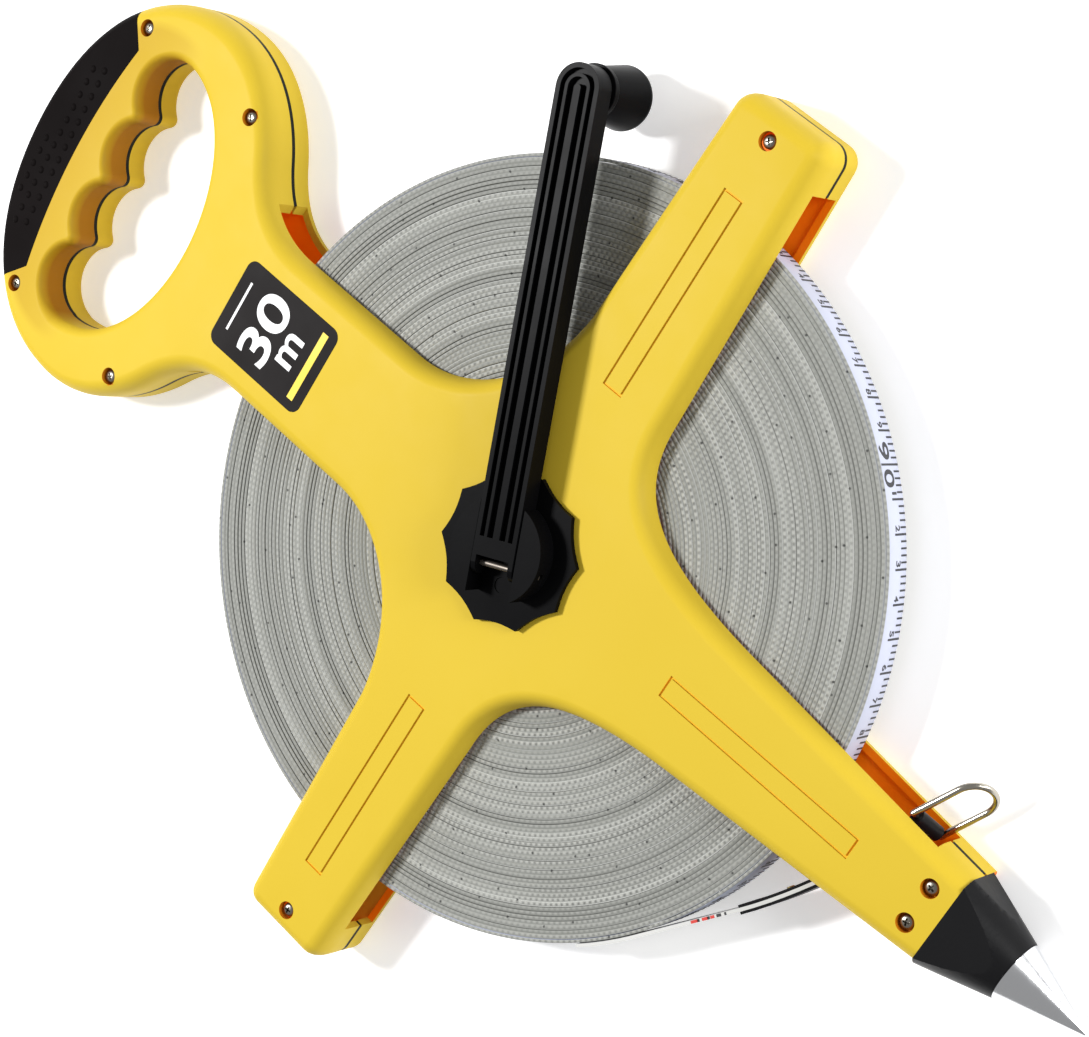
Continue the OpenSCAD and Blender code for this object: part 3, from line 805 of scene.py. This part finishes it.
def case_screws():
    """Eight heads, each turned and tilted its own way."""
    one = screw_mesh()
    bm = bmesh.new()
    for x, y in SCREWS:
        part = one.copy()
        tilt = Matrix.Rotation(math.radians(random.uniform(-SCREW_TILT, SCREW_TILT)), 4, "X")
        turn = Matrix.Rotation(math.radians(random.uniform(0, 90)), 4, "Z")
        place = Matrix.Translation(Vector((x, y, face_z(x) - SCREW_SUNK)) * MM)
        part.transform(place @ turn @ tilt)
        bm.from_mesh(part)
        bpy.data.meshes.remove(part)
    in_millimetres(bm)
    obj = make_object("screw_heads", bm, 35)
    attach(paint(obj, SCREW_STEEL), "case")
    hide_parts("case_screws")


case_screws()


# ---------------------------------------------------------------- label
def flat_text(text, bold):
    """A glyph's mesh, each point as a fraction of its width and height, and on top or not."""
    curve = bpy.data.curves.new("glyph", "FONT")
    curve.body, curve.size, curve.offset, curve.extrude = text, 1.0, bold, 0.001
    source = add_object("glyph_source", curve)
    mesh = final_mesh(source)
    bpy.data.objects.remove(source)
    bpy.data.curves.remove(curve)
    co = np.array([v.co[:] for v in mesh.vertices])
    low, high = co.min(axis=0), co.max(axis=0)
    verts = [(*((p - low) / (high - low))[:2], p[2] > 0) for p in co]
    faces = [tuple(f.vertices) for f in mesh.polygons]
    bpy.data.meshes.remove(mesh)
    return verts, faces


def label_text(name, text, x_low, x_high, y_low, y_high):
    """Read from the -Y side to the +Y side, with the tops towards the handle."""
    verts, faces = flat_text(text, 0.018)
    bm = bmesh.new()
    made = [bm.verts.new((x_high - h * (x_high - x_low), y_low + w * (y_high - y_low),
                          LABEL_TOP + (INK if top else 0))) for w, h, top in verts]
    for face in faces:
        bm.faces.new([made[i] for i in face])
    obj = make_object(name, bm)
    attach(paint(obj, WHITE_INK), "case")


label_text("label_numerals", "30", -123.5, -110.0, -11.5, 12.0)
label_text("label_unit", "m", -108.0, -100.8, -5.4, 5.6)
for name, x, wide, half, ink in (("label_stripe", -95.6, 2.6, 12.5, YELLOW_INK),
                                 ("label_rule", -129.6, 0.9, 9.0, WHITE_INK)):
    band = block(name, (x - wide / 2, -half + LABEL_Y, LABEL_TOP),
                 (x + wide / 2, half + LABEL_Y, LABEL_TOP + INK))
    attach(paint(band, ink), "case")

repaint("label", LABEL)
repaint("rear_cap", YELLOW)
repaint("spike_nut", ZINC)
repaint("tape_tail", TAPE_EDGE)
repaint("end_tab", MATT_BLACK)
repaint("tab_rivets", BRASS)
repaint("end_ring", NICKEL)
for name in ("spool_front_half", "spool_rear_half"):
    repaint(name, ORANGE)
repaint("thrust_washers", WASHER)
for name in ("hub_screw", "hub_washer", "knob_pin", "knob_washer"):
    repaint(name, ZINC)
repaint("hinge_pin", PIN_STEEL)


# ---------------------------------------------------------------- the wound tape
LAYER, LAYERS = 1.4, 61
COIL_IN = COIL_R - 1.15 - LAYER * LAYERS
WEAVE = 2.05                          # one stitch of the glass cloth
THREAD_DARK, THREAD_LIGHT = (0.27, 0.275, 0.255), (0.385, 0.39, 0.365)
# Painted shade in the stitches' dents and in the gaps between turns.
STITCH_PAINTED_SHADE, GAP_PAINTED_SHADE = (0.085, 0.086, 0.08), (0.03, 0.03, 0.03)
# A painted highlight on the outer side of some turns; the black specks are the cloth's own.
EDGE_PAINTED_HIGHLIGHT, SPECK_BLACK = (0.78, 0.79, 0.76), (0.02, 0.02, 0.02)


def chance(tree, turn, offset):
    """A random value for each turn of the tape."""
    return node(tree, "ShaderNodeTexWhiteNoise", {"W": plus(tree, turn, offset)},
                noise_dimensions="1D").outputs["Value"]


def woven_material():
    """Glass-cloth tape on edge: a row of stitches in each turn; painted shade in the dents and
    gaps, painted highlights on some turns.
    """
    mat, tree, shader = material("tape_weave", (0.4, 0.4, 0.38), 0.62, specular=0.25)
    place = node(tree, "ShaderNodeSeparateXYZ", {0: coords(tree)}).outputs
    flat = node(tree, "ShaderNodeCombineXYZ", {0: place[0], 1: place[1], 2: 0.0}).outputs[0]
    radius = node(tree, "ShaderNodeVectorMath", {0: flat}, operation="LENGTH").outputs["Value"]
    out = math_node(tree, "SUBTRACT", radius, COIL_IN * MM)
    turns = math_node(tree, "DIVIDE", out, LAYER * MM)
    turn = math_node(tree, "FLOOR", turns)
    across = math_node(tree, "FRACT", turns)
    mid = plus(tree, times(tree, turn, LAYER * MM), (COIL_IN + LAYER / 2) * MM)
    along = times(tree, math_node(tree, "ARCTAN2", place[1], place[0]), mid)
    stitch = math_node(tree, "DIVIDE", along, WEAVE * MM)
    loose = times(tree, noise(tree, 45.0, 2.0), 1.3)
    wave = math_node(tree, "COSINE", times(tree, plus(tree, stitch, loose), 2 * math.pi))
    row = math_node(tree, "SINE", times(tree, across, math.pi))
    dent = times(tree, ramp(tree, wave, -0.5, 1.0), row)
    of_turn = chance(tree, turn, 0.5)
    of_gap = chance(tree, turn, 90.5)
    drift = ramp(tree, noise(tree, 16.0, 3.0), 0.3, 0.7, 0.35, 1.0)
    strength = times(tree, ramp(tree, of_turn, 0.0, 1.0, 0.4, 1.0), drift)
    shade = times(tree, dent, strength)
    thread = mix(tree, ramp(tree, of_turn, 0.1, 0.9), THREAD_DARK, THREAD_LIGHT)
    # Painted shade in each stitch's dent.
    color = mix(tree, times(tree, shade, 0.85), thread, STITCH_PAINTED_SHADE)
    # Painted shade in the gaps between some turns.
    edge = ramp(tree, across, 0.02, 0.17, 1.0, 0.0)
    gap = times(tree, edge, ramp(tree, of_gap, 0.62, 0.72))
    color = mix(tree, times(tree, gap, 0.8), color, GAP_PAINTED_SHADE)
    # A painted highlight on the outer side of some turns.
    painted_highlight = times(tree, ramp(tree, across, 0.80, 0.93), ramp(tree, of_gap, 0.30, 0.22))
    color = mix(tree, times(tree, painted_highlight, 0.6), color, EDGE_PAINTED_HIGHLIGHT)
    cells = node(tree, "ShaderNodeTexVoronoi", {"Vector": flat, "Scale": 85.0},
                 voronoi_dimensions="2D")
    speck = ramp(tree, cells.outputs["Distance"], 0.02, 0.045, 1.0, 0.0)
    color = mix(tree, times(tree, speck, 0.85), color, SPECK_BLACK)
    tree.links.new(color, shader.inputs["Base Color"])
    depth = plus(tree, times(tree, shade, -1.0), times(tree, gap, -1.4))
    bump(tree, shader, depth, 0.7, 0.0004)
    return mat


WEAVE_GREY = woven_material()


def turn_heights():
    """How far each turn stands back from the tape's edge, in fives of about one height."""
    drops, level = [], 0.0
    for k in range(LAYERS):
        if k % 5 == 0:
            level = random.uniform(0.0, 0.32)
        drops.append(min(0.5, max(0.0, level + random.uniform(-0.09, 0.09))))
    return drops


def inner_turns():
    """Every turn of the tape with its own height, rounded at its edges."""
    side, flat, down = 0.04, 0.3, 0.32
    drops = turn_heights()
    profile = [(COIL_IN, TAPE_LOW + 0.5)]
    for k in range(LAYERS):
        r0, r1, top = COIL_IN + k * LAYER, COIL_IN + (k + 1) * LAYER, TAPE_HIGH - drops[k]
        profile += [(r0 + side, top - down), (r0 + flat, top),
                    (r1 - flat, top), (r1 - side, top - down)]
    for k in reversed(range(LAYERS)):
        r0, r1, low = COIL_IN + k * LAYER, COIL_IN + (k + 1) * LAYER, TAPE_LOW + drops[-1 - k]
        profile += [(r1 - side, low + down), (r1 - flat, low),
                    (r0 + flat, low), (r0 + side, low + down)]
    bm = bmesh.new()
    lathe(bm, profile, 288)
    obj = make_object("tape_turns", bm, 60)
    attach(paint(obj, WEAVE_GREY), "reel")
    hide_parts("tape_coil")


def outer_turn():
    """The last turn, whose face carries the marks."""
    inner, edge = COIL_R - 0.95, COIL_R - 0.2
    bm = bmesh.new()
    lathe(bm, [(inner, TAPE_LOW + 0.1), (inner, TAPE_HIGH - 0.2), (COIL_R - 0.8, TAPE_HIGH - 0.05),
               (edge, TAPE_HIGH - 0.05), (COIL_R, TAPE_HIGH - 0.25), (COIL_R, TAPE_LOW + 0.25),
               (edge, TAPE_LOW + 0.05)], 288)
    obj = make_object("tape_outer_turn", bm, 60)
    paint(obj, TAPE_FACE)
    obj.data.materials.append(WEAVE_GREY)
    for face in obj.data.polygons:
        face.material_index = 1 if abs(face.normal.z) > 0.5 else 0
    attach(obj, "reel")


inner_turns()
outer_turn()

DECIMETRE_AT = 48.7                   # degrees round the coil to one decimetre mark
DEG_A_CM = math.degrees(10 / COIL_R)
SUNK, LIFT = -0.05, 0.08              # the marks' inner and outer sides, from the tape's face
LARGE, SMALL = (5.2, 4.6, 6.3), (1.8, 4.5, 2.8)        # the numerals' width, foot and height


def on_rim(distance, height, lift):
    """A point on the coil's rim, by distance past the decimetre mark and height on the tape."""
    a = math.radians(DECIMETRE_AT - distance / 10 * DEG_A_CM)
    r = COIL_R + lift
    return Vector((r * math.cos(a), r * math.sin(a), TAPE_LOW + height))


def rim_ticks():
    """A tick every 2 mm, longer at each centimetre and longest at each decimetre."""
    bm = bmesh.new()
    last = int(180 / DEG_A_CM * 5) - 1
    base = 0.3
    for i in range(-last, last + 1):
        d = 2.0 * i
        top = 11.4 if i % 50 == 0 else 7.8 if i % 5 == 0 else 3.9
        half = 0.32 if i % 5 == 0 else 0.28
        corners = ((-half, base), (half, base), (half, top), (-half, top))
        low, high = ([bm.verts.new(on_rim(d + a, h, lift)) for a, h in corners]
                     for lift in (SUNK, LIFT))
        close_between(bm, low, high)
    obj = make_object("rim_ticks", bm)
    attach(paint(obj, BLACK_INK), "reel")


def rim_numbers():
    """Small numbers before each centimetre mark and large ones round each decimetre mark."""
    glyphs = {str(n): flat_text(str(n), 0.012) for n in range(10)}
    bm = bmesh.new()
    last = int(180 / DEG_A_CM) - 1
    for cm in range(-last, last + 1):
        at = 10.0 * cm
        if cm % 10 == 0:
            tens = (9 + cm // 10) % 10
            places = [(str(tens), at - 6.6, *LARGE), ("0", at + 1.4, *LARGE)]
        else:
            places = [(str(cm % 10), at - 2.6, *SMALL)]
        for text, start, wide, base, tall in places:
            verts, faces = glyphs[text]
            if text == "1":        # a narrow numeral in the middle of its place
                start, wide = start + 0.28 * wide, 0.44 * wide
            made = [bm.verts.new(on_rim(start + w * wide, base + (1 - h) * tall,
                                        LIFT if top else SUNK)) for w, h, top in verts]
            for face in faces:
                bm.faces.new([made[i] for i in face])
    obj = make_object("rim_numbers", bm)
    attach(paint(obj, BLACK_INK), "reel")


rim_ticks()
rim_numbers()


# (name, ink, ((place along the free end from 0 to 1, width), ...))
TAIL_MARKS = (
    ("tail_red_marks", RED_INK, ((0.57, 2.6), (0.67, 2.2), (0.745, 1.4))),
    ("tail_black_marks", BLACK_INK, ((0.628, 0.8), (0.718, 0.9), (0.80, 1.6), (0.87, 0.7))))
TAIL_FROM, TAIL_TO = Vector((97.07, -71.83, 0)), Vector((119.9, -40.3, 0))


def tail_marks():
    """The red and black marks at the tape's zero, seen along the edge of its free end."""
    along = (TAIL_TO - TAIL_FROM).normalized()
    side = Vector((along.y, -along.x, 0))
    for name, ink, spots in TAIL_MARKS:
        bm = bmesh.new()
        for f, wide in spots:
            start = TAIL_FROM.lerp(TAIL_TO, f)
            corners = [start + side * o + along * (wide * u)
                       for o, u in ((0.1, 0), (1.0, 0), (1.0, 1), (0.1, 1))]
            low, high = ([bm.verts.new((p.x, p.y, TAPE_HIGH + lift)) for p in corners]
                         for lift in (-INK, INK))
            close_between(bm, low, high)
        obj = make_object(name, bm)
        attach(paint(obj, ink), "case")


tail_marks()


# ---------------------------------------------------------------- black mouldings and the spike
def soften(name, body, new_name, width, mat, segments=2):
    """Replaces a CAD node by itself with its edges bevelled."""
    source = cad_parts[name]
    bm = bmesh.new()
    bm.from_mesh(source.data)
    bm.transform(source.matrix_world)
    bmesh.ops.remove_doubles(bm, verts=bm.verts, dist=2e-6)
    bmesh.ops.dissolve_limit(bm, angle_limit=math.radians(0.6), verts=bm.verts, edges=bm.edges)
    mesh = bpy.data.meshes.new(new_name)
    bm.to_mesh(mesh)
    bm.free()
    obj = add_object(new_name, mesh)
    bevel(obj, width, segments, 30)
    smooth(obj, 40)
    weigh_normals(obj)
    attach(paint(obj, mat), body)
    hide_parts(name)


soften("crank_hub", "reel", "crank_hub_skin", 0.3, BLACK)
soften("crank_arm", "crank", "crank_arm_skin", 0.35, BLACK)
soften("crank_knob", "knob", "crank_knob_skin", 0.7, BLACK, 3)
soften("spike_holder", "case", "spike_holder_skin", 0.35, MATT_BLACK)


def turned_spike():
    """The ground point and its stud, turned finely enough to mirror without facets."""
    bm = bmesh.new()
    along_x = Matrix.Translation((0, 0, SPIKE_Z)) @ Matrix.Rotation(math.radians(90), 4, "Y")
    lathe(bm, [(POINT, 151.55), (2.98, 151.55), (2.98, 193.0), (9.4, 193.0), (9.68, 193.2),
               (5.03, 206.0), (0.45, 218.5), (POINT, 218.75)], 256, along_x)
    bmesh.ops.remove_doubles(bm, verts=bm.verts, dist=0.001)
    obj = make_object("spike_point", bm, 40)
    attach(paint(obj, SPIKE_STEEL), "case")
    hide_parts("spike")


turned_spike()


# ---------------------------------------------------------------- floor, light and camera
CAMERA = Vector((319.16, 270.78, 678.11)) * MM
AIM = Vector((-0.36, 11.35, 17.2)) * MM
ROLL = math.radians(-92.45)
LENS = 84.67

cam_data = bpy.data.cameras.new("camera")
cam_data.lens, cam_data.sensor_width = LENS, 36.0
cam_data.clip_start, cam_data.clip_end = 0.05, 20.0
cam = add_object("camera", cam_data)
cam.location = CAMERA
cam.rotation_mode = "QUATERNION"
cam.rotation_quaternion = (AIM - CAMERA).to_track_quat("-Z", "Y") @ Quaternion((0, 0, 1), ROLL)
bpy.context.scene.camera = cam

floor = block("floor", (-6000, -6000, -20), (6000, 6000, -0.05))
floor_mat, _, floor_shader = material("floor_white", (0.9, 0.9, 0.9), 0.9, specular=0.1)
# The floor glows a little, as a light table does.
floor_shader.inputs["Emission Color"].default_value = (1, 1, 1, 1)
floor_shader.inputs["Emission Strength"].default_value = 0.4
paint(floor, floor_mat)

world = bpy.data.worlds.new("studio")
bpy.context.scene.world = world
world.use_nodes = True
world.node_tree.nodes["Background"].inputs["Color"].default_value = (1, 1, 1, 1)
world.node_tree.nodes["Background"].inputs["Strength"].default_value = 0.36

RIGHT, UP, BACK = (cam.rotation_quaternion @ Vector(v) for v in ((1, 0, 0), (0, 1, 0), (0, 0, 1)))


def softbox(name, right, up, back, size, power):
    """A rectangular light that faces the reel, placed in metres by the camera's directions."""
    data = bpy.data.lights.new(name, "AREA")
    data.shape, data.size, data.size_y, data.energy = "RECTANGLE", size[0], size[1], power
    obj = add_object(name, data)
    obj.location = RIGHT * right + UP * up + BACK * back
    obj.rotation_mode = "QUATERNION"
    obj.rotation_quaternion = (-obj.location).to_track_quat("-Z", "Y")


softbox("key_left", -1.40, 0.34, 0.62, (0.24, 0.24), 27.0)
softbox("fill_right", 0.83, 0.1, 0.86, (0.4, 0.7), 11.0)

bpy.context.scene.view_settings.view_transform = "Standard"
